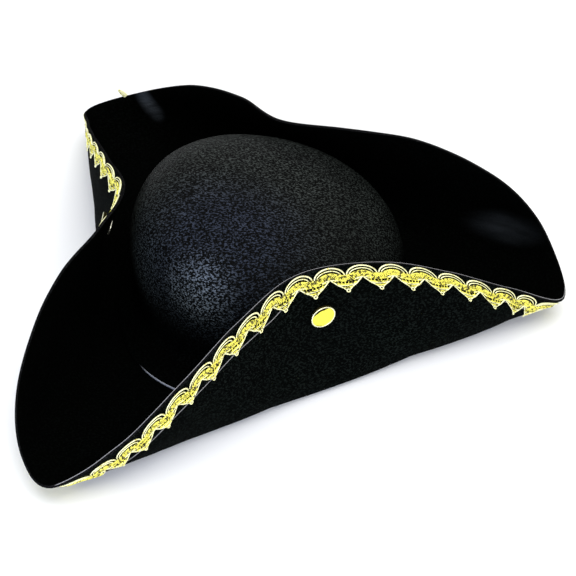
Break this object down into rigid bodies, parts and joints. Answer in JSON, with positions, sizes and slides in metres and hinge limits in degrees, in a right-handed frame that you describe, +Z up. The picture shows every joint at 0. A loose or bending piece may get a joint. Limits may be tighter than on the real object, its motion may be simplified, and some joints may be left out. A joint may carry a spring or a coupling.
{
  "type": "tricorn hat",
  "caption": "Black felt hat with a domed crown and a brim turned up on three sides, edged with scalloped gold braid, a gold disc stud on each flap.",
  "frame": {"origin": "on the surface that the hat rests on, under the middle of its bounding box", "axes": "+Z up through the crown, -Y towards the front corner, +X towards the wearer's left"},
  "size_m": [0.3932, 0.3482, 0.0941],
  "materials": {
    "felt": "matt pressed wool felt",
    "braid": "shiny metallic gold gimp braid",
    "stud_metal": "polished gold-coloured brass"
  },
  "bodies": {
    "root": {"crown": "felt", "brim": "felt", "braid": "braid", "stud_left": "stud_metal", "stud_back": "stud_metal", "stud_right": "stud_metal", "washer_left": "stud_metal", "washer_back": "stud_metal", "washer_right": "stud_metal"}
  },
  "joints": []
}
